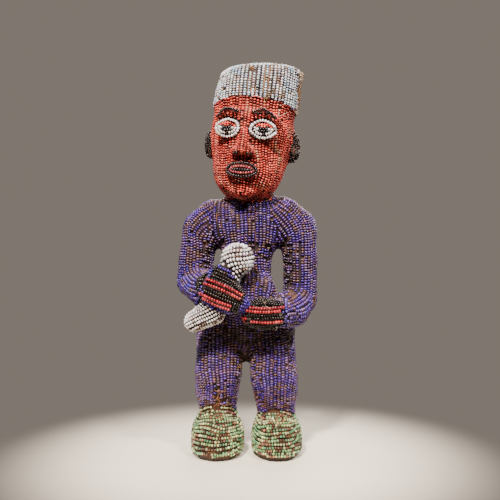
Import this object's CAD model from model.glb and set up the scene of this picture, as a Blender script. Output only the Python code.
# Looks of the beaded figure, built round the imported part.
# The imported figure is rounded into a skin. Strings of glass beads are laid side by side on it, each
# along a flow that runs down the head and the body, along the arms, the hands and the gourd's end, and
# round the feet, the gourd's bulb and the ears. Under them lie a cloth and the threads that show
# between two strings. Lengths are in millimetres in the part's own frame until a mesh is made.

import math
from collections import deque, namedtuple
from itertools import product

import bpy
import numpy as np
from mathutils import Matrix, Vector, noise
from mathutils.bvhtree import BVHTree


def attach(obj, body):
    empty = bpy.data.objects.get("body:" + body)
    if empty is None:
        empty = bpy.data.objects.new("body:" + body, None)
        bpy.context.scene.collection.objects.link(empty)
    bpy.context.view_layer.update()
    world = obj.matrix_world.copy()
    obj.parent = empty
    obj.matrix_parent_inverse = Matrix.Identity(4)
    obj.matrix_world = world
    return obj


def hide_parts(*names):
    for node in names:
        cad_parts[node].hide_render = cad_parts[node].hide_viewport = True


MM = 0.001
TINY = 1e-6
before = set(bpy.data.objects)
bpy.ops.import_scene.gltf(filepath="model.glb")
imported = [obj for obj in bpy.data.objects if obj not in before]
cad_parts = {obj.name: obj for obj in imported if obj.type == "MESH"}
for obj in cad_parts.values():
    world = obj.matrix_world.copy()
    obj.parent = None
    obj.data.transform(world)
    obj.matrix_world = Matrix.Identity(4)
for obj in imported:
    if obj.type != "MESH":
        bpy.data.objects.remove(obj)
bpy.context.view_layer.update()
random = np.random.default_rng(7)

# Where the middle of the carved figure's own plan lies in the part's frame.
PLAN_SHIFT = np.array([2.73, 8.55, 0.0])


def at(x, y, z):
    return np.array([x, y, z], float) + PLAN_SHIFT


def joints(*rows):
    """Joints of a limb from rows of x, y, z and radius."""
    return [(at(*row[:3]), row[3]) for row in rows]


# Masses of the body: centre and radii.
CHEST = at(0, 2, 243), (42, 30, 33)
WAIST = at(-3, 1, 205), (26.5, 26, 44)
BELLY = at(0, -12, 168), (29, 32, 30)
HIPS = at(-3, 12, 132), (53, 35, 30)
BUTTOCK_RIGHT = at(-24, 28, 134), (25, 24, 26)
BUTTOCK_LEFT = at(19, 28, 134), (25, 24, 26)
HAND_RIGHT = at(-27.5, -54, 171), (27, 13, 17)
HAND_RIGHT_LEAN = 0.42
HAND_LEFT = at(15, -46, 151), (25, 12.5, 16)
HAND_LEFT_WAY = 1.0, 0.0, 0.02
GOURD_BULB = at(-12.5, -47, 207), (18, 17.5, 17.5)
GOURD_BULB_AXIS = -0.38, 0.0, 1.0

NECK = joints((0, 4, 240, 25), (0, 5, 284, 23))
ARM_RIGHT = joints((-52, 3, 240, 21), (-58.5, 3, 208, 18.5), (-60, 1, 184, 19), (-45, -34, 173, 17.5))
ARM_LEFT = joints(
    (34, 4, 251, 24), (51, 3, 240, 21.5), (54.5, 3, 208, 18.5),
    (54, -1, 166, 18.5), (44, -22, 154, 18.5), (33, -38, 151, 15),
)
LEG_RIGHT = joints((-32, 4, 124, 26.5), (-33.5, -10, 86, 24.4), (-35, 2, 46, 20.5))
LEG_LEFT = joints((22.5, 4, 124, 26), (25.8, -10, 82, 25), (28.5, 2, 46, 21))
GOURD_NECK = joints((-16, -46, 196, 11), (-32, -45, 166, 11))
GOURD_END = joints((-38, -46, 153, 14), (-57, -43, 143.5, 11.5))
THUMB = joints((-45, -47, 182, 10), (-33, -50, 191, 8.5), (-24, -52, 190, 8))

# Lines that the strings of the arms follow, from the neck over the shoulder to the wrist.
ARM_LINES = {
    "right_arm": [
        (-34, 4, 262), (-47, 4, 251), (-57, 3, 234), (-59, 3, 208),
        (-60, 0, 190), (-56, -14, 178), (-45, -34, 173), (-32, -50, 170),
    ],
    "left_arm": [
        (14, 2, 271), (32, 3, 264), (47, 3, 250), (54, 3, 232), (55, 3, 206),
        (55, 2, 180), (53, -4, 163), (46, -20, 154), (33, -38, 151), (20, -48, 150),
    ],
}
ARM_ROOT = 14  # depth over which the arms' lines take over from the trunk's and the legs'

# Cuffs: a ring of beads round each wrist, as a point and the direction across the ring.
CUFFS = {
    "right_cuff": (at(-46.6, -34, 181), (0.92, 0.0, -0.39)),
    "left_cuff": (at(36.5, -34, 151), (1.0, 0.0, 0.0)),
}
CUFF_HALF_WIDTH = 2.4
CUFF_REACH = 30  # its beads lie this near its middle
CUFF_DEPTH = 14  # and no further behind it

# Feet: the soles under them and the height of the ankle, where the strings change direction.
SOLE_THICKNESS = 4.0
SOLE_MARGIN = 0.8
SOLE_REACH = 21.0, 33.0
SOLE_SQUARENESS = 2.6
SOLE_CENTRES = {"right": at(-34.5, -8, 0), "left": at(28.5, -8, 0)}
# Height and inset of the soles' rings from the ground up; the top ring lies in the cloth.
SOLE_RINGS = [(0.0, 1.6), (0.35, 0.5), (1.2, 0.0), (3.2, 0.1), (4.4, 0.6), (6.6, 1.6)]
SOLE_SIDES = 72
SOLE_WEAR = 0.35  # how far wear moves their edges
SOLE_WEAR_FINENESS = 0.16
ANKLE_HEIGHT = {"right": 54.0, "left": 49.0}
ANKLE_FRONT = -20  # where along the foot the ankle has this height
ANKLE_DROP = 0.22  # how much lower it is for each unit further back
ANKLE_BAND = 1.2  # width of the bare line between foot and leg
LEGS_MIDDLE = -3  # between the legs
LEGS_TOP = 80  # everything below this is leg or foot
HIPS_MIDDLE = 125  # no string below this follows the arms' lines
INSTEP_ARCH = 0.04  # how strongly the rows on the instep bend down to both sides
INSTEP_START = 18, 30  # height where they start to bend, and how much higher they bend in full
ANKLE_ARCH = 0.25  # how far the ankle's line bends with them

# Head: its pose, then the face and the cap in the head's own frame.
HEAD_PIVOT = at(-3.5, -3, 272)
HEAD_TURN = math.radians(-9)
HEAD_LEAN = math.radians(4.5)
SKULL = (0, 6, 70), (45, 50, 62)
JAW = (0, -9, 27), (36, 35, 32)
CHIN = (0, -34, 5), (13, 9, 8)
NOSE = [
    (np.array([0.0, -40.0, 79.0]), 5),
    (np.array([0.0, -46.0, 60.0]), 5.5),
    (np.array([0.0, -50.0, 46.5]), 7),
]
EAR_CENTRE = 45.0, 8.0, 59.0
EAR_RADII = 8.5, 10.0, 17.0
EYE_CENTRE = 19.0, 67.0
EYE_REACH = 11.0, 7.5
MOUTH_HEIGHT = 24.67
MOUTH_REACH = 15.0, 6.0
OVAL_ROOM = 1.1  # how far round the eyes and the mouth the face's own strings stay away, as a share
FACE_FRONT = -25  # the eyes and the mouth lie in front of this
CAP_RIM_HEIGHT = 95.0
CAP_RIM_SLOPE = -0.12
CAP_LOWEST = 60  # nothing below this is cap
CAP_TOP_CENTRE = np.array([5.0, 3.0, 138.0])
CAP_TOP_SLOPE = 0.08, 0.05
CAP_TOP_BAND = 3
CAP_TOP_FACING = 0.72  # how far the skin on the top faces upwards, as a cosine
# Where the cap's rim and the brow meet: centre and reach across and along, how far the easing
# goes above and below the rim, and how much of the step between them it takes away.
RIM_CENTRE = 1.0, 3.0
RIM_REACH = 46.0, 45.5
RIM_EASING = 34.0, 13.0
RIM_EASED = 0.72
RIM_CORE = 0.6  # share of the reach round the middle that stays as it is
RIM_FADE = 40  # depth over which the easing fades towards the back

# Kinds of beading. gap: strings' distance. pitch: beads' distance along a string. width, length: of
# a bead. wander: how far the strings leave their flow, as a slope. depth: how far below the skin the
# threads between two strings lie. cloth: colour of the cloth.
Kind = namedtuple("Kind", "gap pitch width length wander depth cloth")
KINDS = {
    "body": Kind(4.1, 2.8, 3.55, 2.35, 0.07, 1.8, "38201a"),
    "face": Kind(3.75, 2.6, 3.0, 2.1, 0.03, 1.7, "441c14"),
    "cap": Kind(4.3, 2.65, 2.75, 2.15, 0.02, 1.5, "4c382c"),
    "foot": Kind(3.7, 3.15, 2.75, 2.4, 0.2, 1.7, "543220"),
    "gourd": Kind(5.0, 3.85, 3.3, 2.7, 0.26, 2.3, "3c2720"),
    "gourd_end": Kind(4.1, 2.8, 2.6, 2.1, 0.1, 1.8, "34211b"),
    "hand": Kind(3.5, 2.6, 2.9, 2.2, 0.05, 1.5, "2a1a15"),
    "ear": Kind(3.2, 2.4, 2.7, 2.0, 0.1, 1.3, "2e1a14"),
    "cuff": Kind(4.15, 2.85, 3.5, 2.5, 0.07, 1.8, "38201a"),
}
WANDER_LENGTH = 17  # how far along the skin the strings' wandering changes
CLOTH_DEPTH = 2.5
STRING_BEAD = 3.1, 2.7  # width and length of the beads in the strings on the face and the hands

# Colours of the beads, each followed by its share of the beads in hundredths.
COLOURS = {
    "body": "5a3c8a 32 42267c 18 745a88 18 624266 20 684a4e 12",
    "faded": "684842 40 4e3432 30 5e4464 30",
    "grimy": "3c2824 50 281b19 30 42304a 20",
    "face": "d64638 40 e0624e 28 a63024 26 c07a60 6",
    "cap": "e4e6f0 40 b8cce0 30 c4b2aa 20 8f7c72 10",
    "foot": "80a870 32 bec68e 28 4e8058 14 8e6248 10 543823 16",
    "gourd": "fff8fa 76 e8d4d0 20 a0877c 4",
    "gourd_end": "fff6f2 66 dccabe 20 8a6f60 10 54403a 4",
    "hand": "17110f 50 2a1f1b 30 40342f 20",
    "cuff": "3c2c80 60 54428a 40",
    "ear": "24140f 40 4a3025 30 150e0c 30",
    "blue": "38248a 60 4e3692 40",
    "red": "b42430 60 c43e3e 25 8c1820 15",
    "white": "fff8f8 75 eadcd4 25",
    "black": "120f10 70 2a2222 30",
    "lip": "9c3440 60 b05450 40",
}
# Colours of the threads between the strings, in the same way.
SEWING_COLOURS = {
    "body": "7e5038 12 3c221c 30 180c0c 58",
    "face": "7c3a28 18 30100a 82",
    "cap": "8a6846 34 42302a 30 161011 36",
    "foot": "784a2a 30 3e2415 32 150c08 38",
    "gourd": "5c3c2c 25 1c100c 75",
    "gourd_end": "6a4734 25 1c100c 75",
    "hand": "2a1c16 60 54402e 40",
    "ear": "3a2118 60 5e3a28 40",
}


def tone(code):
    """A colour written as a hex code, as linear numbers."""
    values = np.array([int(code[i : i + 2], 16) for i in (0, 2, 4)]) / 255
    return np.where(values <= 0.04045, values / 12.92, ((values + 0.055) / 1.055) ** 2.4)


def lengths(vectors):
    return np.linalg.norm(vectors, axis=-1)


def unit(vectors):
    return vectors / np.maximum(np.linalg.norm(vectors, axis=-1, keepdims=True), 1e-9)


def egg(points, centre, radii):
    """Signed distance, near enough, from points to an egg."""
    offset = points - np.asarray(centre, float)
    size = lengths(offset / np.asarray(radii, float))
    return lengths(offset) * (1 - 1 / np.maximum(size, TINY))


def limb(points, chain):
    """Signed distance from points to a tapering limb."""
    best = np.full(len(points), np.inf)
    for (a, ra), (b, rb) in zip(chain, chain[1:]):
        along = b - a
        t = np.clip((points - a) @ along / (along @ along), 0, 1)
        best = np.minimum(best, lengths(points - a - t[:, None] * along) - (ra + (rb - ra) * t))
    return best


def turn(axis, angle):
    return np.array(Matrix.Rotation(angle, 3, axis))


HEAD_AXES = turn("Y", HEAD_LEAN) @ turn("Z", HEAD_TURN)


def to_head(points):
    return (points - HEAD_PIVOT) @ HEAD_AXES


def from_head(points):
    return np.asarray(points, float) @ HEAD_AXES.T + HEAD_PIVOT


LINE_POINTS = 90


def smooth_line(points):
    """A round line through points, with its direction at each of its own points."""
    points = np.array([2 * points[0] - points[1], *points, 2 * points[-1] - points[-2]])
    line = []
    for t in np.linspace(0, len(points) - 3 - TINY, LINE_POINTS):
        i = int(t)
        a, b, c, d = points[i : i + 4]
        t -= i
        bend = 2 * a - 5 * b + 4 * c - d
        twist = 3 * b - a - 3 * c + d
        line.append(0.5 * (2 * b + (c - a) * t + bend * t * t + twist * t**3))
    line = np.array(line)
    return line, unit(np.gradient(line, axis=0))


def add_object(name, data):
    thing = bpy.data.objects.new(name, data)
    bpy.context.scene.collection.objects.link(thing)
    return thing


def with_eased_rim(points):
    """Points of the figure, with the cap's rim drawn in and the brow filled out to meet it."""
    head = to_head(points)
    above = head[:, 2] - CAP_RIM_HEIGHT - CAP_RIM_SLOPE * head[:, 1]
    high, low = RIM_EASING
    near = np.clip(1 - np.where(above > 0, above / high, -above / low), 0, 1)
    in_front = np.clip(0.5 - head[:, 1] / RIM_FADE, 0, 1)
    offset = (head[:, :2] - RIM_CENTRE) / RIM_REACH
    far = lengths(offset)
    kept = 1 - RIM_EASED * in_front * near * near * (3 - 2 * near) * (far > RIM_CORE)
    scale = (1 + (far - 1) * kept) / np.maximum(far, TINY)
    head[:, :2] = RIM_CENTRE + offset * scale[:, None] * RIM_REACH
    return from_head(head)


def rounded_copy(node, cell, rounds):
    """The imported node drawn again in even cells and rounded, with its cap's rim eased:
    points, faces and the normals at the points."""
    copy = add_object("rounded", node.data.copy())
    remesh = copy.modifiers.new("remesh", "REMESH")
    remesh.mode = "VOXEL"
    remesh.voxel_size = cell * MM
    smooth = copy.modifiers.new("smooth", "SMOOTH")
    smooth.factor = 0.5
    smooth.iterations = rounds
    seen = copy.evaluated_get(bpy.context.evaluated_depsgraph_get())
    mesh = seen.to_mesh()
    points = with_eased_rim(np.array([v.co for v in mesh.vertices]) / MM)
    faces = [tuple(face.vertices) for face in mesh.polygons]
    seen.to_mesh_clear()
    bpy.data.objects.remove(copy)
    mesh = bpy.data.meshes.new("rounded")
    mesh.from_pydata(points.tolist(), [], faces)
    normals = np.array([normal.vector for normal in mesh.vertex_normals])
    bpy.data.meshes.remove(mesh)
    return points, faces, normals


# Parts that a packed ring is cut into, to find its middle line; a row gets one for each bead.
RING_PARTS = 28
FEWEST_PARTS = 4
RIBBON_WIDTH = 0.05  # of the triangles that are laid along such a line


def centreline(name, closed):
    """Middle line of a packed string of beads."""
    points = np.array([v.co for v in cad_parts[name].data.vertices]) / MM
    middle = points.mean(0)
    axes = np.linalg.svd(points - middle, full_matrices=False)[2]
    u, v = (points - middle) @ axes[0], (points - middle) @ axes[1]
    if closed:
        place = (np.arctan2(v, u) / (2 * np.pi)) % 1
        parts = RING_PARTS
    else:
        place = (u - u.min()) / (u.max() - u.min() + TINY)
        parts = max(int((u.max() - u.min()) / STRING_BEAD[0]), FEWEST_PARTS)
    part = (place * parts).astype(int).clip(0, parts - 1)
    line = np.array([points[part == n].mean(0) for n in range(parts) if (part == n).any()])
    if closed:
        line = np.vstack([line, line[:1]])
    elif line[0][0] > line[-1][0]:
        line = line[::-1]
    return line


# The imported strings, and whether each is a ring.
PACKED_STRINGS = {
    **{f"eye_ring_{side}": True for side in ("right", "left")},
    **{f"brow_{side}": False for side in ("right", "left")},
    "mouth_ring": True,
    **{f"right_hand_red_row_{n}": False for n in (1, 2, 3, 4)},
    **{f"left_hand_red_row_{n}": False for n in (1, 2, 3)},
}
lines_of_strings = {name: centreline(name, closed) for name, closed in PACKED_STRINGS.items()}

# Groups of regions that are beaded together: kind of beading, slot of their pieces, regions, and
# places that the first strings pass through. The strings of the body cross from one of its regions
# to the next.
Group = namedtuple("Group", "kind slot regions starts")
GROUPS = {
    "body": Group(
        "body", "body_beads", ["torso", "right_arm", "left_arm", "right_leg", "left_leg"],
        [at(0, -40, 240), at(-33, -50, 80), at(27, -50, 80)],
    ),
    "face": Group("face", "face_beads", ["face"], [from_head((0, -60, 60)), from_head((0, -60, 13))]),
    "cap": Group("cap", "cap_beads", ["cap"], [from_head((0, -60, 110))]),
    "crown": Group("cap", "cap_beads", ["cap_top"], [from_head((43, 0, 141))]),
    "feet": Group("foot", "foot_beads", ["right_foot", "left_foot"], [at(-34, -70, 8), at(28, -70, 8)]),
    "right_hand": Group("hand", "black_beads", ["right_hand"], [at(-27, -80, 177)]),
    "left_hand": Group("hand", "black_beads", ["left_hand"], [at(15, -80, 150)]),
    "bulb": Group("gourd", "white_beads", ["bulb"], [at(-12, -80, 207)]),
    "gourd_end": Group("gourd_end", "white_beads", ["gourd_end"], [at(-50, -80, 150)]),
    "ears": Group("ear", "black_beads", ["ears"], [from_head((60, 8, 59)), from_head((-60, 8, 59))]),
    "cuffs": Group("cuff", "body_beads", [*CUFFS], [middle - [0, 30, 0] for middle, _ in CUFFS.values()]),
}
KIND_OF_REGION = {region: group.kind for group in GROUPS.values() for region in group.regions}


class Skin:
    """The rounded figure, with a region and a flow for each of its faces."""

    def __init__(self, node):
        self.points, self.faces, point_normals = rounded_copy(node, cell=1.7, rounds=7)
        self.tree = BVHTree.FromPolygons(self.points.tolist(), self.faces)
        corners = np.array([face if len(face) == 4 else (*face, face[2]) for face in self.faces])
        self.centres = self.points[corners].mean(1)
        self.normals = unit(point_normals[corners].mean(1))
        self.region = self.regions()
        self.flow = self.flows()
        self.normal_list = [Vector(n) for n in self.normals]
        self.flow_list = [Vector(f) for f in self.flow]

    def regions(self):
        """Name of each face's region."""
        p, n = self.centres, self.normals
        head = to_head(p)
        ears = [egg(head, (side * EAR_CENTRE[0], *EAR_CENTRE[1:]), EAR_RADII) for side in (-1, 1)]
        leaning = (p - HAND_RIGHT[0]) @ turn("Y", HAND_RIGHT_LEAN) + HAND_RIGHT[0]
        torso = [CHEST, WAIST, BELLY, HIPS, BUTTOCK_RIGHT, BUTTOCK_LEFT]
        skull = [egg(head, *form) for form in (SKULL, JAW, CHIN)]
        self.depths = {
            "torso": np.min([egg(p, *form) for form in torso] + [limb(p, NECK)], axis=0),
            "right_arm": limb(p, ARM_RIGHT),
            "left_arm": limb(p, ARM_LEFT),
            "right_leg": limb(p, LEG_RIGHT),
            "left_leg": limb(p, LEG_LEFT),
            "right_hand": np.minimum(egg(leaning, *HAND_RIGHT), limb(p, THUMB)),
            "left_hand": egg(p, *HAND_LEFT),
            "bulb": np.minimum(egg(p, *GOURD_BULB), limb(p, GOURD_NECK)),
            "gourd_end": limb(p, GOURD_END),
            "face": np.min([*skull, limb(head, NOSE)], axis=0),
            "ears": np.min(ears, axis=0),
        }
        region = np.array(list(self.depths))[np.argmin(list(self.depths.values()), axis=0)].astype("<U12")
        for name, (middle, across) in CUFFS.items():
            inside = np.abs((p - middle) @ np.array(across)) < CUFF_HALF_WIDTH
            near = (lengths(p - middle) < CUFF_REACH) & (p[:, 1] < middle[1] + CUFF_DEPTH)
            own = np.isin(region, [name.replace("cuff", "arm"), name.replace("cuff", "hand")])
            region[inside & near & own] = name
        rim = CAP_RIM_HEIGHT + CAP_RIM_SLOPE * head[:, 1]
        top = CAP_TOP_CENTRE[2] + (head[:, :2] - CAP_TOP_CENTRE[:2]) @ np.array(CAP_TOP_SLOPE)
        region[(head[:, 2] > rim) & (head[:, 2] > CAP_LOWEST)] = "cap"
        region[(head[:, 2] > top - CAP_TOP_BAND) & (n @ HEAD_AXES[:, 2] > CAP_TOP_FACING)] = "cap_top"
        for own, side in (("right", -1), ("left", 1)):
            low = (p[:, 2] < LEGS_TOP) & ((p[:, 0] - PLAN_SHIFT[0] - LEGS_MIDDLE) * side > 0)
            ankle = ANKLE_HEIGHT[own] - ANKLE_DROP * (p[:, 1] - PLAN_SHIFT[1] - ANKLE_FRONT)
            ankle -= ANKLE_ARCH * INSTEP_ARCH * (p[:, 0] - SOLE_CENTRES[own][0]) ** 2
            region[low] = f"{own}_leg"
            region[low & (p[:, 2] < ankle)] = "bare"
            region[low & (p[:, 2] < ankle - ANKLE_BAND)] = f"{own}_foot"
        region[p[:, 2] < SOLE_THICKNESS + SOLE_MARGIN] = "bare"
        beside = BVHTree.FromPolygons(*self.string_ribbons())
        reach = (STRING_BEAD[0] + KINDS["face"].width) / 2
        for i in np.nonzero(np.isin(region, ["face", "right_hand", "left_hand"]))[0]:
            if beside.find_nearest(p[i], reach)[0] is not None:
                region[i] = "bare"
        eyes = [((side * EYE_CENTRE[0], EYE_CENTRE[1]), EYE_REACH) for side in (-1, 1)]
        for (x, z), (across, up) in (*eyes, ((0.0, MOUTH_HEIGHT), MOUTH_REACH)):
            inside = np.hypot((head[:, 0] - x) / across, (head[:, 2] - z) / up) < OVAL_ROOM
            region[inside & (head[:, 1] < FACE_FRONT)] = "bare"
        return region

    def string_ribbons(self):
        """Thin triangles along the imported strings, for finding what lies beside them."""
        corners = []
        for line in lines_of_strings.values():
            for a, b in zip(line, line[1:]):
                corners += [a, b, b + RIBBON_WIDTH]
        return np.array(corners).tolist(), np.arange(len(corners)).reshape(-1, 3).tolist()

    def flows(self):
        """Direction in which the strings run at each face."""
        p, n = self.centres, self.normals
        flow = np.tile([0.0, 0.0, -1.0], (len(p), 1))
        for name, points in ARM_LINES.items():
            line, ways = smooth_line([at(*point) for point in points])
            nearest = np.argmin(((p[:, None, :] - line[None]) ** 2).sum(2), axis=1)
            share = np.clip(0.5 + (self.depths["torso"] - self.depths[name]) / ARM_ROOT, 0, 1)
            share[np.isin(self.region, ["face", "cap", "cap_top", "ears"])] = 0
            share *= np.clip((self.depths["right_leg"] + ARM_ROOT) / ARM_ROOT, 0, 1)
            share[p[:, 2] <= HIPS_MIDDLE] = 0
            flow += (ways[nearest] - flow) * share[:, None]
        down = -HEAD_AXES[:, 2]
        on_right = p[:, 0] < PLAN_SHIFT[0] + LEGS_MIDDLE
        middle = np.where(on_right, SOLE_CENTRES["right"][0], SOLE_CENTRES["left"][0])
        low, rise = INSTEP_START
        arch = INSTEP_ARCH * (p[:, 0] - middle) * np.clip((p[:, 2] - low) / rise, 0, 1)
        over_instep = np.cross(np.stack([arch, np.zeros(len(p)), np.ones(len(p))], axis=1), n)
        ear_side = np.sign(to_head(p)[:, :1])
        ear_middle = from_head(ear_side * [EAR_CENTRE[0], 0, 0] + [0, *EAR_CENTRE[1:]])
        ways = {
            "face": down,
            "cap": down,
            "cap_top": np.cross(HEAD_AXES[:, 2], p - from_head(CAP_TOP_CENTRE)),
            "ears": np.cross(HEAD_AXES[:, 0], p - ear_middle),
            "right_foot": over_instep,
            "left_foot": over_instep,
            "right_hand": np.array([math.cos(HAND_RIGHT_LEAN), 0, -math.sin(HAND_RIGHT_LEAN)]),
            "left_hand": np.array(HAND_LEFT_WAY),
            "bulb": np.cross(unit(np.array(GOURD_BULB_AXIS)), n),
            "gourd_end": unit(GOURD_END[1][0] - GOURD_END[0][0]),
            **{name: np.cross(across, n) for name, (_, across) in CUFFS.items()},
        }
        for name, way in ways.items():
            own = self.region == name
            flow[own] = np.broadcast_to(way, flow.shape)[own]
        flow = unit(flow - (flow * n).sum(1, keepdims=True) * n)
        slope = np.array([KINDS[KIND_OF_REGION.get(str(name), "body")].wander for name in self.region])
        drift = np.array([noise.noise(Vector(place) / WANDER_LENGTH) for place in p]) * 2 * slope
        return unit(flow + np.cross(n, flow) * drift[:, None])

    def nearest(self, place):
        """The skin's point nearest to a place, and its face."""
        point, _, face, _ = self.tree.find_nearest(place)
        return point, face

    def onto(self, points, direction):
        """Points carried along a direction until they meet the skin, and the normals there."""
        hits = [self.tree.ray_cast(Vector(p), Vector(direction)) for p in points]
        hits = [hit for hit in hits if hit[0] is not None]
        return np.array([hit[0] for hit in hits]), self.normals[[hit[2] for hit in hits]]


class Laid:
    """Points that are already taken, in cells for finding the nearest."""

    def __init__(self, cell):
        self.cell = cell
        self.cells = {}

    def key(self, p):
        return int(p.x // self.cell), int(p.y // self.cell), int(p.z // self.cell)

    def add(self, p):
        self.cells.setdefault(self.key(p), []).append(p)

    def nearest(self, p):
        """Distance and place of the nearest point, if there is one within a cell's length."""
        best, place = self.cell * self.cell, None
        x, y, z = self.key(p)
        for cell in product((x - 1, x, x + 1), (y - 1, y, y + 1), (z - 1, z, z + 1)):
            for q in self.cells.get(cell, ()):
                gap = (q - p).length_squared
                if gap < best:
                    best, place = gap, q
        return math.sqrt(best), place


# How strings are laid. Rooms and sight are shares of the strings' distance.
SEED_ROOM = 0.8  # a new string starts this far from the others
SLIT_ROOM = 0.7  # or this far where only narrow slits are left between them
END_ROOM = 0.7  # a string ends where it comes nearer to another than this
FLOW_SHARE = 0.7  # how much of a string's heading comes from the flow at each step
STEERING = 1.1  # how strongly a string is drawn to its own distance from its neighbour
MOST_STEERED = 0.4  # most that it counts as off that distance, as a share of it
SIGHT = 1.45  # it minds a neighbour that is nearer than this
SHARPEST_TURN = 0.5  # cosine between the skin's normals at two steps, where a string breaks off
SHORTEST = 1.3  # length of the shortest string, in distances between beads
MOST_STEPS = 1500
SHORTEST_STEP, LONGEST_STEP = 0.4, 1.6  # what a step may come to on the skin, as a share of a step
OTHER_WAY = -0.5  # cosine to its heading below which a string takes the flow the other way round
TOO_NEAR = 1e-3  # points nearer than this have no direction between them
LAP = 2.2  # strings' distances that a string runs before it can meet itself
BACK_AT_START = 0.75  # a string is a ring if it comes this near its start, in steps
BESIDE_START = 1.1  # or, where it would meet itself, this near, in strings' distances
SEEDS_APART = 1.5  # strings' distances between the starts of new strings beside a string
CELL = 1.5  # size of the cells that hold the points already taken; more than the sight


class Weaver:
    """Lays strings over regions of the skin."""

    def __init__(self, group):
        self.regions = group.regions
        self.joined = group is GROUPS["body"]
        self.gap, self.pitch = KINDS[group.kind][:2]
        self.step = self.pitch / 2
        self.laid = Laid(CELL * self.gap)
        self.strings = []

    def may_cross(self, face, start_face):
        region = skin.region[face]
        return region in self.regions if self.joined else region == skin.region[start_face]

    def heading_from(self, p, face, heading, way):
        """Heading of the next step: the flow, the last heading, and the distance to a neighbour."""
        flow = skin.flow_list[face] * way
        if flow.dot(heading) < OTHER_WAY:
            flow = -flow
        heading = (flow * FLOW_SHARE + heading * (1 - FLOW_SHARE)).normalized()
        room, other = self.laid.nearest(p)
        if other is None:
            return heading
        normal = skin.normal_list[face]
        away = p - other
        away -= normal * away.dot(normal)
        if room >= SIGHT * self.gap or away.length <= TOO_NEAR:
            return heading
        off = max(-MOST_STEERED, min(MOST_STEERED, (self.gap - room) / self.gap))
        return (heading + away.normalized() * off * STEERING).normalized()

    def trace(self, start, start_face, way):
        """Points one way from a start, and whether they came back to it."""
        points, p, face = [], start, start_face
        heading = skin.flow_list[face] * way
        lap = int(LAP * self.gap / self.step)
        for count in range(1, MOST_STEPS):
            heading = self.heading_from(p, face, heading, way)
            q, next_face = skin.nearest(p + heading * self.step)
            bend = skin.normal_list[face].dot(skin.normal_list[next_face])
            share = (q - p).length / self.step
            if bend < SHARPEST_TURN or not SHORTEST_STEP < share < LONGEST_STEP:
                return points, False
            if not self.may_cross(next_face, start_face):
                return points, False
            if self.laid.nearest(q)[0] < END_ROOM * self.gap:
                return points, False
            if count > lap:
                if (q - start).length < BACK_AT_START * self.step:
                    return points, True
                earlier = points[: count - lap : 2]
                if any((q - point).length < END_ROOM * self.gap for point, _ in earlier):
                    return points, (q - start).length < BESIDE_START * self.gap
            points.append((q, next_face))
            p, face = q, next_face
        return points, False

    def lay(self, start, face):
        """Lays the string through a start, and returns its points, or none if it is too short."""
        ahead, closed = self.trace(start, face, 1)
        behind = [] if closed else self.trace(start, face, -1)[0]
        points = [*reversed(behind), (start, face), *ahead]
        if len(points) * self.step < SHORTEST * self.pitch:
            return []
        for p, _ in points:
            self.laid.add(p)
        self.strings.append((points, closed))
        return points

    def spread(self, seeds, room=SEED_ROOM):
        """Lays strings from seeds outwards until no room is left beside them."""
        queue = deque(seeds)
        while queue:
            start, face = queue.popleft()
            if skin.region[face] not in self.regions:
                continue
            if self.laid.nearest(start)[0] < room * self.gap:
                continue
            points = self.lay(start, face)
            for p, own_face in points[1 :: max(2, int(SEEDS_APART * self.gap / self.step))]:
                side = skin.normal_list[own_face].cross(skin.flow_list[own_face]) * self.gap
                queue.append(skin.nearest(p + side))
                queue.append(skin.nearest(p - side))

    def cover(self, starts):
        """Strings from the given starts, then from every place that is still free."""
        self.spread([skin.nearest(Vector(start)) for start in starts])
        own = np.nonzero(np.isin(skin.region, self.regions))[0]
        for room, faces in ((SEED_ROOM, own[::3]), (SLIT_ROOM, own)):
            for face in faces:
                centre = Vector(skin.centres[face])
                if self.laid.nearest(centre)[0] > room * self.gap:
                    self.spread([(centre, int(face))], room)
        return self.strings


# Places where beads are lost: x, y and z of the middle, reach along x, y and z, and the share of the
# beads there.
LOST_BEADS = [
    (57, 8, 391, 9, 30, 27, 0.9), (0, -47, 402, 2.5, 10, 2.5, 1.0), (16, -52, 368.5, 3, 12, 2.5, 1.0),
    (-46, -14, 201, 8, 14, 4, 0.7), (-34, -40, 191, 6, 12, 5, 0.85), (38, -22, 174, 8, 12, 8, 0.75),
    (-35, -30, 68, 4.5, 12, 10, 0.7), (-24, -30, 58, 13, 12, 4, 0.75), (-30, -34, 51, 13, 12, 4, 0.6),
    (27, -36, 48, 14, 12, 4, 0.6), (-10, -8, 84, 5, 22, 30, 0.25), (3, -8, 78, 5, 22, 28, 0.25),
    (5, -15, 57, 7, 15, 9, 0.6), (2, -27, 221, 7, 12, 5, 0.75), (21, -20, 212, 7, 14, 9, 0.7),
    (-33, -20, 224, 7, 14, 8, 0.7), (46, -16, 121, 8, 16, 8, 0.4), (39.5, -8, 200, 4.5, 16, 28, 0.35),
    (-45, -16, 219, 5, 14, 8, 0.4),
]
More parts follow.
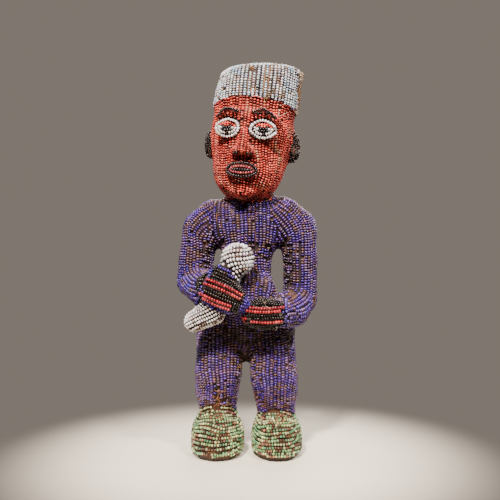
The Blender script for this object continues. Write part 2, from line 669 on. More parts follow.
# Places where the beads are faded to brown.
FADED_BEADS = [
    (41, -8, 200, 8, 18, 30, 0.7), (42, -4, 258, 21, 24, 14, 0.5), (-34, -8, 266, 17, 20, 8, 0.5),
    (5, -28, 229, 28, 14, 7, 0.35), (22, -18, 216, 12, 14, 10, 0.5), (25, -12, 197, 7, 22, 28, 0.45),
    (5, -26, 190, 9, 14, 15, 0.5), (28, -30, 168, 11, 14, 6, 0.5), (42, -18, 180, 10, 16, 11, 0.6),
    (-54, -14, 216, 11, 17, 12, 0.6), (-46, -16, 195, 12, 20, 12, 0.55), (-8, -16, 116, 8, 16, 10, 0.5),
    (43, -14, 130, 9, 18, 10, 0.5), (-22, -26, 57, 12, 16, 8, 0.55), (24, -28, 54, 17, 16, 7, 0.55),
    (-10, -8, 86, 6, 24, 32, 0.7), (3, -8, 80, 7, 24, 32, 0.65), (0, -20, 126, 50, 30, 10, 0.7),
    (0, 10, 135, 60, 50, 14, 0.3),
]
# Places where they are dark with grime, and where more of them are blue.
GRIMY_BEADS = [
    (40, -8, 199, 6, 18, 30, 0.75), (-46, -14, 218, 7, 16, 10, 0.6), (0, -20, 127, 46, 30, 9, 0.5),
]
BLUER_BEADS = [(-64, -14, 178, 22, 36, 24, 0.4), (52, -24, 148, 22, 26, 20, 0.3)]
# Shares of the beads that are faded or lost outside these places.
FADED_ANYWHERE = 0.08
LOST_ANYWHERE = 0.012


PATCH_EDGE = 1.25  # how far out a patch ends, as a share of its reach
PATCH_FADE = 0.4  # over how much of it the patch fades
OVERHANG = 0.3  # how much longer than its line a row of beads may be, as a share of their distance
UNEVEN_PLACES = 0.045  # how unevenly they follow each other, in the same way


def run_of(steps):
    """Length run at each point of a line, from the lengths of its steps."""
    return np.concatenate([[0], np.cumsum(steps)])


def line_of(points, closed):
    """A string's line and the skin's normals along it, evened out, and the length run at each point."""
    line = np.array([p for p, _ in points])
    normals = np.array([skin.normals[face] for _, face in points])
    if closed:
        line = np.vstack([line, line[:1]])
        normals = np.vstack([normals, normals[:1]])
    for _ in range(2):
        for values in (line, normals):
            values[1:-1] = (values[:-2] + 2 * values[1:-1] + values[2:]) / 4
    line = np.array([skin.nearest(Vector(p))[0] for p in line])
    return line, unit(normals), run_of(lengths(np.diff(line, axis=0)))


def places_along(line, normals, run, wanted):
    """Places, directions and normals where the line has run the wanted lengths."""
    def taken(values):
        return np.stack([np.interp(wanted, run, values[:, axis]) for axis in range(3)], axis=1)

    return taken(line), unit(taken(np.gradient(line, axis=0))), unit(taken(normals))


def thread_beads(line, normals, run, pitch, closed):
    """Places, directions and normals of the beads on one string."""
    if closed:
        count = max(int(round(run[-1] / pitch)), 1)
        wanted = np.arange(count) * run[-1] / count
    else:
        count = int(run[-1] / pitch + OVERHANG) + 1
        wanted = run[-1] / 2 + (np.arange(count) - (count - 1) / 2) * pitch
    return places_along(line, normals, run, wanted + random.normal(0, UNEVEN_PLACES * pitch, count))


def beads_of(strings, pitch):
    """Beads of all the strings as arrays, with the number of each bead's string."""
    found = []
    for number, (points, closed) in enumerate(strings):
        beads = thread_beads(*line_of(points, closed), pitch, closed)
        found.append((*beads, np.full(len(beads[0]), number)))
    return [np.concatenate(part) for part in zip(*found)]


def struck(places, patches, anywhere=0):
    """Which of the beads at these places are drawn by lot, more of them inside the patches."""
    share = np.full(len(places), float(anywhere))
    for x, y, z, *radii, part in patches:
        far = lengths((places - at(x, y, z)) / np.array(radii, float))
        share = np.maximum(share, part * np.clip((PATCH_EDGE - far) / PATCH_FADE, 0, 1))
    return random.random(len(places)) < share


RUNS = 0.45  # share of the beads that take the colour of the bead before them
MIXTURES = 0.55  # how much the strings differ in their mixture of colours
SHADES, TINTS = 0.25, 0.06  # how much the beads differ in brightness and in tint


def colours_of(palette, numbers, runs=RUNS):
    """A colour for each bead: strings differ in their mixture, and beads come in short runs."""
    words = palette.split()
    codes = np.array([tone(code) for code in words[::2]])
    shares = np.array([int(share) / 100 for share in words[1::2]])
    chosen = np.zeros(len(numbers), int)
    for number in np.unique(numbers):
        own = np.nonzero(numbers == number)[0]
        mixture = shares * np.exp(random.normal(0, MIXTURES, len(shares)))
        drawn = random.choice(len(shares), len(own), p=mixture / mixture.sum())
        kept = random.random(len(own)) < runs
        for n in range(1, len(own)):
            if kept[n]:
                drawn[n] = drawn[n - 1]
        chosen[own] = drawn
    shade = np.exp(random.normal(0, SHADES, (len(numbers), 1)))
    tint = 1 + random.normal(0, TINTS, (len(numbers), 3))
    return (codes[chosen] * shade * tint).clip(0, 1)


def one_string(palette, places):
    """Colours for beads that need no strings of their own."""
    return colours_of(COLOURS[palette], np.zeros(len(places), int))


def recoloured(colours, chosen, palette):
    """Gives the chosen beads colours of another palette."""
    picked = np.nonzero(chosen)[0]
    colours[picked] = one_string(palette, picked)


def make_mesh(name, points, faces, colours=None, uv=None):
    """A smooth mesh object from points in millimetres and faces."""
    mesh = bpy.data.meshes.new(name)
    mesh.from_pydata((np.asarray(points) * MM).tolist(), [], faces)
    mesh.polygons.foreach_set("use_smooth", np.ones(len(mesh.polygons), bool))
    if colours is not None:
        layer = mesh.color_attributes.new("tint", "FLOAT_COLOR", "POINT")
        full = np.concatenate([colours, np.ones((len(colours), 1))], axis=1)
        layer.data.foreach_set("color", full.astype(np.float32).ravel())
    if uv is not None:
        layer = mesh.uv_layers.new(name="OFBake")
        layer.uv.foreach_set("vector", np.asarray(uv, np.float32).ravel())
    mesh.update()
    return add_object(name, mesh)


def finish_piece(thing, material, replaced=()):
    thing.data.materials.append(material)
    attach(thing, "root")
    if replaced:
        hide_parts(*replaced)


BEAD_SIDES = 8
LARGE_BEAD_SIDES = 10  # for the white beads and those of the strings on the face and the hands
# Half of a bead's outline from end to end: place along it and distance out, as parts of its half sizes.
BEAD_OUTLINE = [(-1, 0.36), (-0.46, 0.98), (0.46, 0.98), (1, 0.36)]
END_SHADE = 0.7  # how much of its colour a bead keeps at its ends, where grime gathers
# How much beads differ in girth and in length, lean away from their string, and lie high or low.
GIRTHS, LENGTHS, LEANING, HEIGHTS = 0.045, 0.07, 0.07, 0.09
# A bead's cell of the colour map: the part that it fills, the part of that for its sides, and the
# middles and radius of the two discs for its ends.
CELL_FILL = 0.86
SIDES_SHARE = 0.78
DISC_MIDDLES = (0.25, 0.9), (0.75, 0.9)
DISC_RADIUS = 0.09


def band(first, around):
    """Faces between a ring of points, from the number of its first, and the next ring."""
    pairs = [(first + n, first + (n + 1) % around) for n in range(around)]
    return [(n, n + around, m + around, m) for n, m in pairs]


def bead_faces(around):
    """Faces of one bead's sides and of its ends, each with its corners in the bead's cell."""
    bands = len(BEAD_OUTLINE) - 1
    sides, corners = [], []
    for ring in range(bands):
        sides += band(ring * around, around)
        low, high = SIDES_SHARE * ring / bands, SIDES_SHARE * (ring + 1) / bands
        for n in range(around):
            left, right = n / around, (n + 1) / around
            corners.append([[left, low], [left, high], [right, high], [right, low]])
    first = list(range(around))
    last = [(bands + 1) * around - 1 - n for n in first]
    turns = 2 * np.pi * np.arange(around) / around
    disc = DISC_RADIUS * np.stack([np.cos(turns), np.sin(turns)], axis=1)
    return (sides, corners), ([first, last], [disc + middle for middle in DISC_MIDDLES])


def bead_piece(name, beads, size, look, proud=0.0, large=False, replaced=()):
    """A piece of separate beads whose tops are level with the skin, or stand proud of it. The look is
    a kind of finish and a slot."""
    places, ways, normals, colours = beads
    width, length = size
    around = LARGE_BEAD_SIDES if large else BEAD_SIDES
    count = len(places)
    girth = (width / 2 * np.exp(random.normal(0, GIRTHS, count)))[:, None]
    half = (length / 2 * np.exp(random.normal(0, LENGTHS, count)))[:, None]
    ways = unit(ways + random.normal(0, LEANING, (count, 3)))
    sides = unit(np.cross(ways, normals))
    ups = np.cross(sides, ways)
    middles = places + normals * (proud + random.normal(0, HEIGHTS, (count, 1)) - width / 2)
    rings = []
    for along, out in BEAD_OUTLINE:
        for n in range(around):
            angle = 2 * math.pi * n / around
            spoke = sides * math.cos(angle) + ups * math.sin(angle)
            rings.append(middles + ways * half * along + spoke * girth * out)
    points = np.stack(rings, axis=1).reshape(-1, 3)
    cells_across = math.ceil(math.sqrt(count))
    cells = np.stack([np.arange(count) % cells_across, np.arange(count) // cells_across], axis=1)
    faces, uv = [], []
    for pattern, corners in bead_faces(around):
        numbers = np.array(pattern)[None] + np.arange(count)[:, None, None] * len(rings)
        faces += numbers.reshape(-1, numbers.shape[2]).tolist()
        inset = (1 - CELL_FILL) / 2 + np.array(corners) * CELL_FILL
        uv.append(((cells[:, None, None, :] + inset[None]) / cells_across).reshape(-1, 2))
    shades = np.repeat([END_SHADE] + [1.0] * (len(BEAD_OUTLINE) - 2) + [END_SHADE], around)
    tints = (colours[:, None, :] * shades[None, :, None]).reshape(-1, 3)
    finish, slot = look
    piece = make_mesh(name, points, faces, tints, np.concatenate(uv))
    finish_piece(piece, MATERIALS[finish], replaced)


RIDGE_HALF_WIDTH = 0.85
RIDGE_STEP = 4.4
RIDGE_FOOT = CLOTH_DEPTH + 0.3
RIDGE_UNEVENNESS = 0.35
# A ridge's tiles of the colour map: margin, far side, and the low and high edges of its three faces.
TILE = 0.07, 0.93
TILE_ROWS = (0.07, 0.33), (0.37, 0.63), (0.67, 0.93)


def sewing_piece(name, entries):
    """Threads and pinched cloth that stand up between neighbouring strings, as closed ridges.
    Each entry is a list of strings, their distance, the colours and the depth of what shows."""
    points, faces, colours, corners = [], [], [], []
    near, far = TILE
    tile = 0
    for strings, gap, palette, depth in entries:
        for number, (string, closed) in enumerate(strings):
            line, normals, run = line_of(string, closed)
            if len(line) < 4:
                continue
            wanted = np.linspace(0, run[-1], max(2, int(round(run[-1] / RIDGE_STEP)) + 1))
            middle, way, up = places_along(line, normals, run, wanted)
            side = unit(np.cross(up, way))
            middle = middle + side * gap / 2
            top = (depth + np.abs(random.normal(0, RIDGE_UNEVENNESS, len(wanted))))[:, None]
            first = len(points)
            ridge = [
                middle - side * RIDGE_HALF_WIDTH - up * RIDGE_FOOT,
                middle - up * top,
                middle + side * RIDGE_HALF_WIDTH - up * RIDGE_FOOT,
            ]
            points.extend(np.stack(ridge, axis=1).reshape(-1, 3))
            colours.extend(np.repeat(colours_of(palette, np.full(len(wanted), number)), 3, axis=0))
            for a in range(first, len(points) - 3, 3):
                faces += [(a, a + 3, a + 4, a + 1), (a + 1, a + 4, a + 5, a + 2), (a, a + 2, a + 5, a + 3)]
                for low, high in TILE_ROWS:
                    corners += [(tile, near, low), (tile, far, low), (tile, far, high), (tile, near, high)]
                tile += 1
            last = len(points) - 3
            for face in ((first, first + 1, first + 2), (last + 2, last + 1, last)):
                faces.append(face)
                corners += [(tile, near, near), (tile, 0.5, far), (tile, far, near)]
                tile += 1
    corners = np.array(corners)
    across = math.ceil(math.sqrt(tile))
    cells = np.stack([corners[:, 0] % across, corners[:, 0] // across], axis=1)
    return make_mesh(name, points, faces, np.array(colours), (cells + corners[:, 1:]) / across)


CLOTH_ABOVE_ANKLE = 6  # how far up the legs the cloth has the feet's colour
# Under the feet, where the skin faces down, the cloth lies nearer to it: up to what height, from what
# cosine on, and by how much at most.
UNDERSIDE_TOP, UNDERSIDE_FACING, UNDERSIDE_EASED = 20, 0.6, 0.85


def cloth_piece():
    """The cloth that the strings are sewn on: the figure drawn in by the beads' depth."""
    points, faces, normals = rounded_copy(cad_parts["figure"], cell=3.2, rounds=3)
    shades = {kind: tone(values.cloth) for kind, values in KINDS.items()}
    colours = []
    for point in points:
        kind = KIND_OF_REGION.get(str(skin.region[skin.nearest(point)[1]]), "body")
        if kind == "body" and point[2] < ANKLE_HEIGHT["right"] + CLOTH_ABOVE_ANKLE:
            kind = "foot"
        colours.append(shades[kind])
    most = 1 - UNDERSIDE_FACING
    eased = UNDERSIDE_EASED * np.clip(-normals[:, 2:] - UNDERSIDE_FACING, 0, most) / most
    depth = np.where(points[:, 2:] < UNDERSIDE_TOP, CLOTH_DEPTH * (1 - eased), CLOTH_DEPTH)
    return make_mesh("cloth", points - normals * depth, faces, np.array(colours))


def sole_piece(name, centre):
    """A thin worn sole with rounded edges, as one closed mesh."""
    points = []
    for height, inset in SOLE_RINGS:
        for n in range(SOLE_SIDES):
            angle = 2 * math.pi * n / SOLE_SIDES
            reach = []
            for half, part in zip(SOLE_REACH, (math.cos(angle), math.sin(angle))):
                reach.append((half - inset) * math.copysign(abs(part) ** (2 / SOLE_SQUARENESS), part))
            place = Vector((centre[0] + reach[0], reach[1], height))
            wear = SOLE_WEAR * noise.noise(place * SOLE_WEAR_FINENESS)
            x, y = (centre[axis] + reach[axis] * (1 + wear / SOLE_REACH[axis]) for axis in (0, 1))
            points.append((x, y, height))
    faces = []
    top = len(SOLE_RINGS) - 1
    for ring in range(top):
        for n in range(SOLE_SIDES):
            m = (n + 1) % SOLE_SIDES
            a, b = ring * SOLE_SIDES, (ring + 1) * SOLE_SIDES
            faces.append((a + n, a + m, b + m, b + n))
    for ring in (0, top):
        middle = len(points)
        points.append((centre[0], centre[1], SOLE_RINGS[ring][0]))
        for n in range(SOLE_SIDES):
            a, b = ring * SOLE_SIDES + n, ring * SOLE_SIDES + (n + 1) % SOLE_SIDES
            faces.append((middle, a, b) if ring else (middle, b, a))
    return make_mesh(name, points, faces)


STRING_SINK = 0.7  # how far the beads of a packed string are drawn towards the skin
STRING_PITCH = STRING_BEAD[1] + 0.15  # their distance, with a little room


def packed_string_beads(line, closed):
    """Beads along the middle line of a packed string, drawn a little towards the skin."""
    normals = skin.normals[[skin.nearest(Vector(p))[1] for p in line]]
    run = run_of(lengths(np.diff(line, axis=0)))
    places, ways, ups = thread_beads(line, normals, run, STRING_PITCH, closed)
    return places + ups * (STRING_BEAD[0] / 2 - STRING_SINK), ways, ups


OVAL_POINTS = 400
OVAL_START = -110.0  # how far in front of the head ovals are drawn before they are carried to the face


def oval_on_face(centre, reach, pitch):
    """Beads along an oval in the plane of the face, or along a row where it has no height."""
    if reach[1] == 0:
        count = max(int(round(2 * reach[0] / pitch)) + 1, 1)
        x = centre[0] + np.linspace(-reach[0], reach[0], count)
        z = np.full(count, float(centre[1]))
    else:
        angles = np.linspace(0, 2 * np.pi, OVAL_POINTS)
        x, z = centre[0] + reach[0] * np.cos(angles), centre[1] + reach[1] * np.sin(angles)
        run = run_of(np.hypot(np.diff(x), np.diff(z)))
        count = int(round(run[-1] / pitch))
        wanted = np.arange(count) * run[-1] / count
        x, z = np.interp(wanted, run, x), np.interp(wanted, run, z)
    starts = from_head(np.stack([x, np.full(count, OVAL_START), z], axis=1))
    places, ups = skin.onto(starts, HEAD_AXES[:, 1])
    if reach[1] == 0:
        ways = np.tile(HEAD_AXES[:, 0], (count, 1))
    else:
        ways = np.roll(places, -1, axis=0) - np.roll(places, 1, axis=0)
    return places, unit(ways), ups


TUBE_SIDES = 4
TUBE_TAPER = 0.6  # how much thinner a thread is at its end
TUBE_SIDEWAYS = 0.31, 0.52, 0.79  # a direction that no thread runs along


def tube(path, radius):
    """Points and faces of a thin thread that tapers to its end."""
    around = TUBE_SIDES
    ways = unit(np.gradient(path, axis=0))
    side = unit(np.cross(ways, TUBE_SIDEWAYS))
    up = np.cross(side, ways)
    points = []
    for n, (middle, u, v) in enumerate(zip(path, side, up)):
        thin = radius * (1 - TUBE_TAPER * n / (len(path) - 1))
        for k in range(around):
            angle = 2 * math.pi * k / around
            points.append(middle + thin * (u * math.cos(angle) + v * math.sin(angle)))
    last = len(points) - around
    faces = [face for first in range(0, last, around) for face in band(first, around)]
    return points, [*faces, tuple(range(around)), tuple(reversed(range(last, len(points))))]


# Tufts of frayed thread: x, y and z of the middle, reach along x, y and z, how many threads, their
# length and colour.
FRAYED = [
    (52, 6, 388, 7, 24, 26, 90, 9, "c08a55"), (54, 8, 395, 6, 24, 22, 45, 7, "e2c39a"),
    (0, -47, 402, 4, 6, 3, 8, 4, "c98f58"), (16, -50, 369, 4, 6, 3, 8, 4, "d09a66"),
    (35, -38, 357, 6, 4, 1, 3, 11, "e8cfc0"), (16, -60, 162, 4, 8, 3, 4, 6, "dcc49a"),
    (32, -56, 151, 2, 8, 3, 3, 5, "e6dccb"), (30, -50, 137, 3, 8, 2, 4, 6, "e6dccb"),
    (-6, -20, 96, 3, 10, 5, 6, 6, "b48a58"), (-7, -20, 50, 2, 8, 2, 4, 7, "2b2422"),
    (42, -34, 176, 8, 10, 6, 16, 8, "a06a3c"), (-46, -24, 200, 8, 12, 4, 14, 6, "a0653f"),
    (-30, -40, 190, 5, 8, 6, 12, 6, "8f5d38"), (-34, -36, 62, 7, 6, 9, 14, 6, "b4733f"),
    (-34, -34, 52, 12, 8, 3, 14, 7, "b4733f"), (28, -36, 47, 12, 8, 3, 14, 7, "b4733f"),
]
THREAD_POINTS = 7
THREAD_RISE = 2.1  # how high a thread arches
THREAD_ROOT = 1.6  # how deep below the skin it starts
THREAD_SAG = 0.35  # how far it bends to a side
TUFT_SPREAD = 0.45  # how widely a tuft's threads stand over its reach
# Ranges of a thread's length, as a share of its tuft's, of the part of an arch that it makes, and of
# its radius; and how much threads differ in shade.
THREAD_LENGTHS, THREAD_ARCHES, THREAD_RADII = (0.5, 1.15), (0.5, 0.95), (0.18, 0.34)
THREAD_SHADES = 0.2


def frayed_piece(name):
    """Loose ends of the sewing thread."""
    points, faces, colours = [], [], []
    steps = np.linspace(0, 1, THREAD_POINTS)[:, None]
    for x, y, z, *radii, count, length, code in FRAYED:
        for _ in range(count):
            start = at(x, y, z) + random.normal(0, TUFT_SPREAD, 3) * radii
            root, face = skin.nearest(Vector(start))
            normal = skin.normals[face]
            way = unit(np.cross(normal, random.normal(0, 1, 3)))
            sag = unit(random.normal(0, 1, 3)) * THREAD_SAG
            reach = length * random.uniform(*THREAD_LENGTHS)
            rise = THREAD_RISE * np.sin(np.pi * steps * random.uniform(*THREAD_ARCHES))
            root = np.array(root) - normal * THREAD_ROOT
            path = root + way * reach * steps + normal * rise + sag * reach * steps**2 * 0.5
            new_points, new_faces = tube(path, random.uniform(*THREAD_RADII))
            faces.extend(tuple(i + len(points) for i in corners) for corners in new_faces)
            points.extend(new_points)
            shade = tone(code) * math.exp(random.normal(0, THREAD_SHADES))
            colours.extend([shade.clip(0, 1)] * len(new_points))
    return make_mesh(name, points, faces, np.array(colours))


def set_inputs(tree, node, values):
    """Sets a node's inputs to values, or links them to the outputs of other nodes."""
    for key, value in values.items():
        if isinstance(value, bpy.types.NodeSocket):
            tree.links.new(value, node.inputs[key])
        else:
            node.inputs[key].default_value = value


def add(tree, kind, output, values=None, **settings):
    """An output of a new node that has these inputs and settings."""
    node = tree.nodes.new(f"ShaderNode{kind}")
    for key, value in settings.items():
        setattr(node, key, value)
    set_inputs(tree, node, values or {})
    return node.outputs[output]


def new_material(name):
    """A material, its nodes, and the place on the object that its patterns follow."""
    material = bpy.data.materials.new(name)
    material.use_nodes = True
    tree = material.node_tree
    return material, tree, add(tree, "TexCoord", "Object")


def noise_pattern(tree, place, scale, detail, roughness=0.5):
    values = {"Vector": place, "Scale": scale, "Detail": detail, "Roughness": roughness}
    return add(tree, "TexNoise", "Fac", values)


def wave_pattern(tree, place, direction, scale, distortion, detail, detail_scale=1.0):
    values = {"Vector": place, "Scale": scale, "Distortion": distortion, "Detail": detail}
    values["Detail Scale"] = detail_scale
    return add(tree, "TexWave", "Fac", values, wave_type="BANDS", bands_direction=direction)


def ranged(tree, source, low, high):
    """A value from 0 to 1 brought between two others."""
    return add(tree, "MapRange", "Result", {"Value": source, "To Min": low, "To Max": high})


def scaled(tree, colour, source, low, high):
    """A colour, darkened and lightened by a value from 0 to 1."""
    values = {0: colour, "Scale": ranged(tree, source, low, high)}
    return add(tree, "VectorMath", "Vector", values, operation="SCALE")


def own_colour(tree, source, low, high):
    """The piece's own colour, darkened and lightened in the same way."""
    return scaled(tree, add(tree, "Attribute", "Color", attribute_name="tint"), source, low, high)


def finished(material, values, height, strength, distance):
    """Sets the material's shader, with bumps that follow a height, and returns the material."""
    tree = material.node_tree
    bumps = {"Height": height, "Strength": strength, "Distance": distance}
    values["Normal"] = add(tree, "Bump", "Normal", bumps)
    set_inputs(tree, tree.nodes["Principled BSDF"], values)
    return material


POLISH_UNEVENNESS = 0.12


def glass_beads(name, roughness):
    """Old drawn-glass beads: each with its own tint, specks of dust and a broken polish."""
    material, tree, place = new_material(name)
    specks = noise_pattern(tree, place, 900, 3, 0.6)
    grime = noise_pattern(tree, place, 90, 4, 0.65)
    mixed = {
        "Factor": ranged(tree, grime, -0.5, 0.8),
        "A": own_colour(tree, specks, 0.84, 1.14),
        "B": (0.62, 0.5, 0.42, 1),
    }
    return finished(material, {
        "Base Color": add(tree, "Mix", "Result", mixed, data_type="RGBA", blend_type="MULTIPLY"),
        "Roughness": ranged(tree, grime, roughness - POLISH_UNEVENNESS, roughness + POLISH_UNEVENNESS),
        "IOR": 1.52,
        "Coat Weight": 0.1,
        "Coat Roughness": 0.15,
    }, specks, 0.25, 0.0002)


def woven_cloth(name):
    """Coarse brown cotton with a plain weave, stained unevenly."""
    material, tree, place = new_material(name)
    threads = {n: wave_pattern(tree, place, "XZ"[n], 230, 5, 3, 3) for n in (0, 1)}
    weave = add(tree, "Math", "Value", threads, operation="MULTIPLY")
    stained = own_colour(tree, noise_pattern(tree, place, 60, 5, 0.7), 0.45, 1.5)
    return finished(material, {
        "Base Color": scaled(tree, stained, weave, 0.7, 1.25),
        "Roughness": 0.92,
        "Sheen Weight": 0.1,
    }, weave, 0.6, 0.0004)


def twisted_thread(name):
    """Cotton thread with the fine slanted lines of its twist."""
    material, tree, place = new_material(name)
    twist = wave_pattern(tree, place, "DIAGONAL", 420, 2.5, 2)
    return finished(material, {
        "Base Color": own_colour(tree, twist, 0.72, 1.2),
        "Roughness": 0.85,
        "Sheen Weight": 0.1,
    }, twist, 0.5, 0.0002)


def worn_sole(name):
    """Blackened hide or wood, rubbed paler on its edge."""
    material, tree, place = new_material(name)
    grain = noise_pattern(tree, place, 240, 6, 0.7)
    ramp = tree.nodes.new("ShaderNodeValToRGB")
    for element, position, code in zip(ramp.color_ramp.elements, (0.35, 0.75), ("17110e", "4a382c")):
        element.position = position
        element.color = (*tone(code), 1)
    set_inputs(tree, ramp, {"Fac": grain})
    return finished(material, {
        "Base Color": ramp.outputs["Color"],
        "Roughness": ranged(tree, grain, 0.5, 0.85),
    }, grain, 0.5, 0.0006)


skin = Skin(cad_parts["figure"])
laid = {name: Weaver(group).cover(group.starts) for name, group in GROUPS.items()}

# Finishes of glass beads: their name and roughness.
FINISHES = {
    "body": ("violet_glass_beads", 0.3),
    "face": ("coral_glass_beads", 0.38),
    "cap": ("pale_glass_beads", 0.3),
    "foot": ("mint_glass_beads", 0.32),
    "gourd": ("white_glass_beads", 0.3),
    "hand": ("black_glass_beads", 0.28),
    "ear": ("brown_glass_beads", 0.32),
    "cuff": ("blue_glass_beads", 0.28),
    "red": ("red_glass_beads", 0.3),
}
MATERIALS = {kind: glass_beads(*finish) for kind, finish in FINISHES.items()}
MATERIALS["gourd_end"] = MATERIALS["gourd"]
thread = twisted_thread("cotton_thread")


# Where the hands' beads aren't black: the tips of the right hand's fingers and its lower edge, in its
# own frame, and how near the bulb; then on the left hand's fingertips, how high the blue and the red.
RIGHT_TIPS, RIGHT_EDGE, BULB_ROOM = 22, -12, 4.5
LEFT_BLUE_TIPS, LEFT_BLUE_LOW = -6, 154
LEFT_RED_TIPS, LEFT_RED_LOW, LEFT_RED_HIGH = -4, 140, 149


def hand_colours(places, region, colours):
    """The blue beads at the fingertips, below and beside the gourd, and the red ones near them."""
    x, _, z = (places - PLAN_SHIFT).T
    own = (places - HAND_RIGHT[0]) @ turn("Y", HAND_RIGHT_LEAN)
    right, left = region == "right_hand", region == "left_hand"
    beside_bulb = (egg(places, *GOURD_BULB) < BULB_ROOM) & (places[:, 1] < GOURD_BULB[0][1])
    at_tips = (own[:, 0] > RIGHT_TIPS) | (own[:, 2] < RIGHT_EDGE)
    recoloured(colours, right & (at_tips | beside_bulb), "blue")
    recoloured(colours, left & (x < LEFT_BLUE_TIPS) & (z > LEFT_BLUE_LOW), "blue")
    recoloured(colours, left & (x < LEFT_RED_TIPS) & (z > LEFT_RED_LOW) & (z < LEFT_RED_HIGH), "red")


BEAD_ROOM = 0.66  # how near beads may lie to each other, as a share of their width
BEAD_CELL = 3.0  # more than that, for any bead
FOOT_RUNS = 0.2


def crowded(places, taken, room):
    """Which of the places lie too near a bead that is already there; the others are added."""
    found = []
    for place in map(Vector, places):
        found.append(taken.nearest(place)[0] < room)
        if not found[-1]:
            taken.add(place)
    return np.array(found)


strings_of_beads = {
    name: packed_string_beads(lines_of_strings[name], closed) for name, closed in PACKED_STRINGS.items()
}
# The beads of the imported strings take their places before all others.
taken = Laid(BEAD_CELL)
for places, _, _ in strings_of_beads.values():
    crowded(places, taken, 0)
sewn_beads = {}
for name, group in GROUPS.items():
    kind = KINDS[group.kind]
    places, ways, normals, numbers = beads_of(laid[name], kind.pitch)
    colours = colours_of(COLOURS[group.kind], numbers, FOOT_RUNS if name == "feet" else RUNS)
    region = np.array([skin.region[skin.nearest(Vector(p))[1]] for p in places])
    if group.kind == "hand":
        hand_colours(places, region, colours)
    if name == "body":
        recoloured(colours, struck(places, FADED_BEADS, FADED_ANYWHERE), "faded")
        recoloured(colours, struck(places, BLUER_BEADS), "blue")
        recoloured(colours, struck(places, GRIMY_BEADS), "grimy")
    gone = crowded(places, taken, BEAD_ROOM * kind.width) | struck(places, LOST_BEADS, LOST_ANYWHERE)
    sewn_beads[name] = [part[~gone] for part in (places, ways, normals, colours, region)]

# One piece of beads for each region, but the two cuffs are one; some regions' pieces have longer names.
PIECE_NAMES = {"cap_top": "cap_crown", "bulb": "gourd_bulb", "ears": "ear"}
PROUD = {"hand": 0.9, "cuff": 0.5}  # how far these beads stand out of the skin
for name, group in GROUPS.items():
    *beads, own_region = sewn_beads[name]
    kind = KINDS[group.kind]
    pieces = {f"{PIECE_NAMES.get(region, region)}_beads": [region] for region in group.regions}
    if name == "cuffs":
        pieces = {"cuff_beads": group.regions}
    for piece, regions in pieces.items():
        own = np.isin(own_region, regions)
        bead_piece(
            piece, [part[own] for part in beads], (kind.width, kind.length), (group.kind, group.slot),
            proud=PROUD.get(group.kind, 0.0), large=group.slot == "white_beads",
        )

finish_piece(cloth_piece(), woven_cloth("brown_cloth"), ["figure"])

for piece, names in {
    "body_sewing": ["body"],
    "head_sewing": ["face", "cap", "crown", "ears"],
    "hand_and_gourd_sewing": ["right_hand", "left_hand", "bulb", "gourd_end", "cuffs"],
    "foot_sewing": ["feet"],
}.items():
    entries = []
    for name in names:
        kind = "body" if name == "cuffs" else GROUPS[name].kind
        entries.append((laid[name], KINDS[kind].gap, SEWING_COLOURS[kind], KINDS[kind].depth))
    finish_piece(sewing_piece(piece, entries), thread)

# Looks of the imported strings, by a word of their name: palette, kind of finish and slot.
STRING_LOOKS = {
    "eye": ("white", "gourd", "white_beads"),
    "brow": ("black", "hand", "black_beads"),
    "mouth": ("black", "hand", "black_beads"),
    "red": ("red", "red", "red_beads"),
}
for node, beads in strings_of_beads.items():
    palette, *look = next(look for word, look in STRING_LOOKS.items() if word in node)
    beads = (*beads, one_string(palette, beads[0]))
    bead_piece(f"{node}_beads", beads, STRING_BEAD, look, large=True, replaced=[node])

# Beads inside the rings of the eyes and the mouth and under the nose, as ovals or straight rows: reach
# and colour.
EYE_OVALS = [((9.1, 5.5), "white"), ((6.2, 2.7), "white"), ((3.1, 0.0), "black")]
MOUTH_OVALS = [((12.6, 3.5), "lip"), ((9.6, 0.0), "black")]
NOSTRIL_OVALS = [((1.4, 0.0), "black")]
NOSTRILS = [(-7, 40.5), (7, 40.5)]
OVAL_PITCH = 2.8
OVAL_BEAD = 2.9, 2.5
OVAL_PROUD = 0.7
PUPIL_REACH = 5.6
LID_HEIGHT = 2.0


def eye_colours(places, colours, middle):
    """A dark round iris between white corners, under a lid of the face's own beads."""
    offset = to_head(places)[:, [0, 2]] - middle
    recoloured(colours, np.hypot(offset[:, 0], offset[:, 1]) < PUPIL_REACH, "black")
    recoloured(colours, offset[:, 1] > LID_HEIGHT, "face")


for name, middles, ovals, look in [
    ("right_eye_beads", [(-EYE_CENTRE[0], EYE_CENTRE[1])], EYE_OVALS, ("gourd", "white_beads")),
    ("left_eye_beads", [EYE_CENTRE], EYE_OVALS, ("gourd", "white_beads")),
    ("lip_beads", [(0, MOUTH_HEIGHT)], MOUTH_OVALS, ("red", "red_beads")),
    ("nostril_beads", NOSTRILS, NOSTRIL_OVALS, ("hand", "black_beads")),
]:
    parts = []
    for middle, (reach, palette) in product(middles, ovals):
        places, ways, ups = oval_on_face(middle, reach, OVAL_PITCH)
        colours = one_string(palette, places)
        if "eye" in name:
            eye_colours(places, colours, middle)
        parts.append((places, ways, ups, colours))
    beads = [np.concatenate(part) for part in zip(*parts)]
    bead_piece(name, beads, OVAL_BEAD, look, proud=OVAL_PROUD, large=True)

for own, centre in SOLE_CENTRES.items():
    finish_piece(sole_piece(f"{own}_sole", centre), worn_sole(f"{own}_sole_hide"))

finish_piece(frayed_piece("frayed_threads"), thread)


BACKDROP = "80776f"
BACKDROP_LIGHT = 0.12  # the backdrop's own light on the figure, as a share of how bright it looks
FLOOR = "fff2dc"
# In metres: the floor's reach, and how far out it starts and ends to fade into the backdrop.
FLOOR_REACH = 3.0
FLOOR_SIDES = 96
FLOOR_FADE = 0.09, 0.3


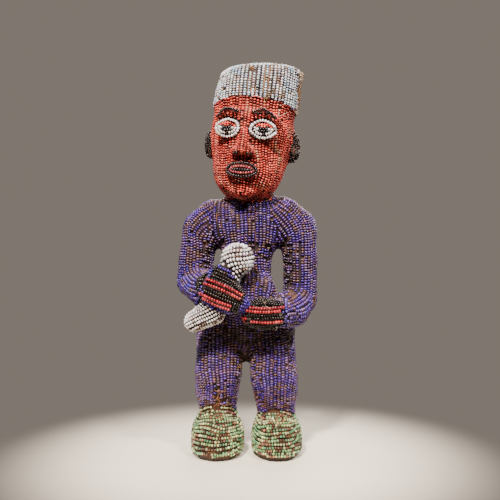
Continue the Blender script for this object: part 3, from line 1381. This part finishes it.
def backdrop_strength(tree):
    """Full strength where the backdrop is seen, less where it only lights the figure."""
    return ranged(tree, add(tree, "LightPath", "Is Camera Ray"), BACKDROP_LIGHT, 1.0)


def pale_floor():
    """A plain pale floor that fades into the backdrop further out."""
    turns = [2 * math.pi * n / FLOOR_SIDES for n in range(FLOOR_SIDES)]
    rim = [(FLOOR_REACH * math.cos(angle), FLOOR_REACH * math.sin(angle), 0.0) for angle in turns]
    mesh = bpy.data.meshes.new("floor")
    mesh.from_pydata(rim, [], [tuple(range(FLOOR_SIDES))])
    floor = add_object("floor", mesh)
    material, tree, place = new_material("floor_paint")
    paint = tree.nodes["Principled BSDF"]
    grain = ranged(tree, noise_pattern(tree, place, 60, 4), 0.6, 0.75)
    set_inputs(tree, paint, {"Base Color": (*tone(FLOOR), 1), "Roughness": grain})
    near, far = FLOOR_FADE
    fade = {"From Min": near, "From Max": far}
    fade["Value"] = add(tree, "VectorMath", "Value", {0: place}, operation="LENGTH")
    glow = {"Color": (*tone(BACKDROP), 1), "Strength": backdrop_strength(tree)}
    both = {
        "Fac": add(tree, "MapRange", "Result", fade, interpolation_type="SMOOTHERSTEP"),
        1: paint.outputs["BSDF"],
        2: add(tree, "Emission", "Emission", glow),
    }
    set_inputs(tree, tree.nodes["Material Output"], {"Surface": add(tree, "MixShader", "Shader", both)})
    mesh.materials.append(material)


def light(name, place, aim_height, size, power, colour):
    """A square lamp that aims at a height above the middle of the floor; in metres."""
    lamp = bpy.data.lights.new(name, "AREA")
    lamp.size = size
    lamp.energy = power
    lamp.color = tone(colour)
    thing = add_object(name, lamp)
    thing.location = place
    thing.rotation_euler = (Vector((0, 0, aim_height)) - Vector(place)).to_track_quat("-Z", "Y").to_euler()


def studio():
    """Floor, an even backdrop and the lamps."""
    pale_floor()
    world = bpy.data.worlds.new("studio")
    world.use_nodes = True
    tree = world.node_tree
    values = {"Color": (*tone(BACKDROP), 1), "Strength": backdrop_strength(tree)}
    set_inputs(tree, tree.nodes["Background"], values)
    bpy.context.scene.world = world
    light("key", (-0.28, -1.03, 1.3), 0.22, 0.14, 58, "fff6ee")
    light("second", (0.56, -0.84, 1.22), 0.22, 0.14, 19, "fff6ee")
    light("fill", (0.1, -1.6, 0.5), 0.2, 0.6, 1.0, "fff4ea")
    light("right_side", (1.1, 0.3, 0.9), 0.2, 0.6, 5, "f4f2ff")
    light("left_side", (-1.1, 0.3, 0.9), 0.2, 0.6, 5, "f4f2ff")
    light("back", (0.2, 1.35, 0.95), 0.2, 1.0, 22, "fff6ec")


# Camera: where the photograph was taken from, level, with the horizon a little below the middle.
EYE = 0.00273, -0.71245, 0.201
SENSOR = 36.0
FOCAL_LENGTH = SENSOR * 665 / 500
HORIZON_DROP = 15 / 500


def photo_camera():
    data = bpy.data.cameras.new("camera")
    data.sensor_width = SENSOR
    data.lens = FOCAL_LENGTH
    data.shift_y = HORIZON_DROP
    thing = add_object("camera", data)
    thing.location = EYE
    thing.rotation_euler = (math.pi / 2, 0, 0)
    bpy.context.scene.camera = thing


studio()
photo_camera()
